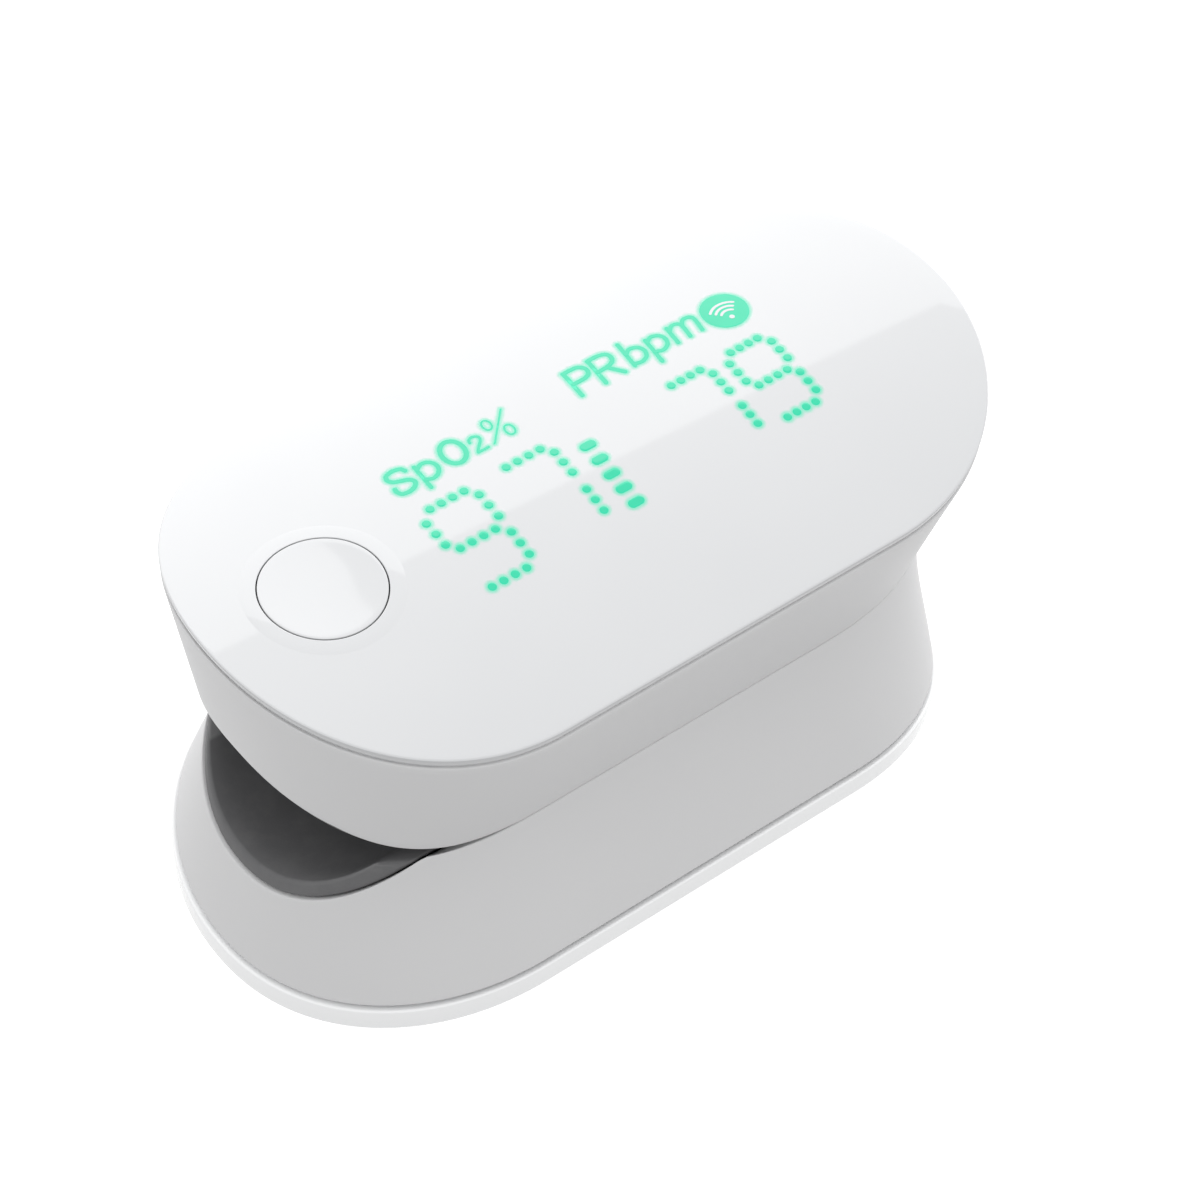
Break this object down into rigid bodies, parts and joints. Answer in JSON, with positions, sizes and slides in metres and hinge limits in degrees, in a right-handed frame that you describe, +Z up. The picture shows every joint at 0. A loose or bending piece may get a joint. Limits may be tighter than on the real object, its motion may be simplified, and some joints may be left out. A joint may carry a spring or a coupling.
{
  "type": "fingertip pulse oximeter",
  "caption": "Fingertip pulse oximeter: two sprung jaws round a padded finger channel, with a lit display and push button under a crowned gloss cover.",
  "frame": {"origin": "middle of the flat land under the base cover, on the surface that the oximeter rests on", "axes": "+X along the length from the finger mouth to the hinge end, +Y across the width, +Z up"},
  "size_m": [0.062, 0.034, 0.0349],
  "materials": {
    "gloss_cover": "clear-coated gloss white",
    "satin_shell": "fine satin moulded",
    "silicone": "matte silicone",
    "frame_plastic": "moulded",
    "black_plastic": "matte",
    "module_white": "matte",
    "circuit_board": "solder mask",
    "chip_black": "moulded",
    "shield_steel": "stamped",
    "bright_steel": "plated",
    "screw_steel": "zinc plated",
    "spring_steel": "drawn wire",
    "led_ceramic": "matte",
    "clear_lens": "polished",
    "cell_foil": "laminated foil",
    "amber_flex": "polyimide film",
    "display_glow": "lit indicator seen through the cover"
  },
  "bodies": {
    "root": {"base_cover": "gloss_cover", "lower_shell": "satin_shell", "lower_pad": "silicone", "lower_liner": "frame_plastic", "battery_tape": "black_plastic", "socket_tongue": "black_plastic", "receiver_board": "circuit_board", "charge_board": "circuit_board", "charge_chip": "chip_black", "receiver_diode": "chip_black", "charge_socket": "bright_steel", "hinge_pin": "bright_steel", "receiver_window": "clear_lens", "battery_cell": "cell_foil", "left_spring": "spring_steel", "right_spring": "spring_steel", "flex_cable": "amber_flex", "lower_screw_1": "screw_steel", "lower_screw_2": "screw_steel", "lower_screw_3": "screw_steel"},
    "upper_jaw": {"upper_shell": "satin_shell", "top_cover": "gloss_cover", "display_mask": "black_plastic", "display_module": "module_white", "display_carrier": "frame_plastic", "main_board": "circuit_board", "controller_chip": "chip_black", "front_end_chip": "chip_black", "radio_module": "shield_steel", "button_switch": "chip_black", "upper_liner": "frame_plastic", "upper_pad": "silicone", "emitter_window": "clear_lens", "emitter_diodes": "led_ceramic", "emitter_board": "circuit_board", "upper_screw_1": "screw_steel", "upper_screw_2": "screw_steel", "upper_screw_3": "screw_steel", "upper_screw_4": "screw_steel"},
    "button": {"button_cap": "gloss_cover", "switch_plunger": "black_plastic"}
  },
  "joints": [
    {"name": "jaw_hinge", "type": "hinge", "parent": "root", "child": "upper_jaw", "pos_m": [0.021, 0, 0.0171], "axis": [0, 1, 0], "range_deg": [0, 12], "stiffness_Nm_per_rad": 0.08, "springref_deg": -34.38, "deforming": ["left_spring", "right_spring", "flex_cable"]},
    {"name": "button_press", "type": "slide", "parent": "upper_jaw", "child": "button", "axis": [0, 0, -1], "range_m": [0, 0.0005], "stiffness_N_per_m": 400, "springref_m": -0.003}
  ]
}
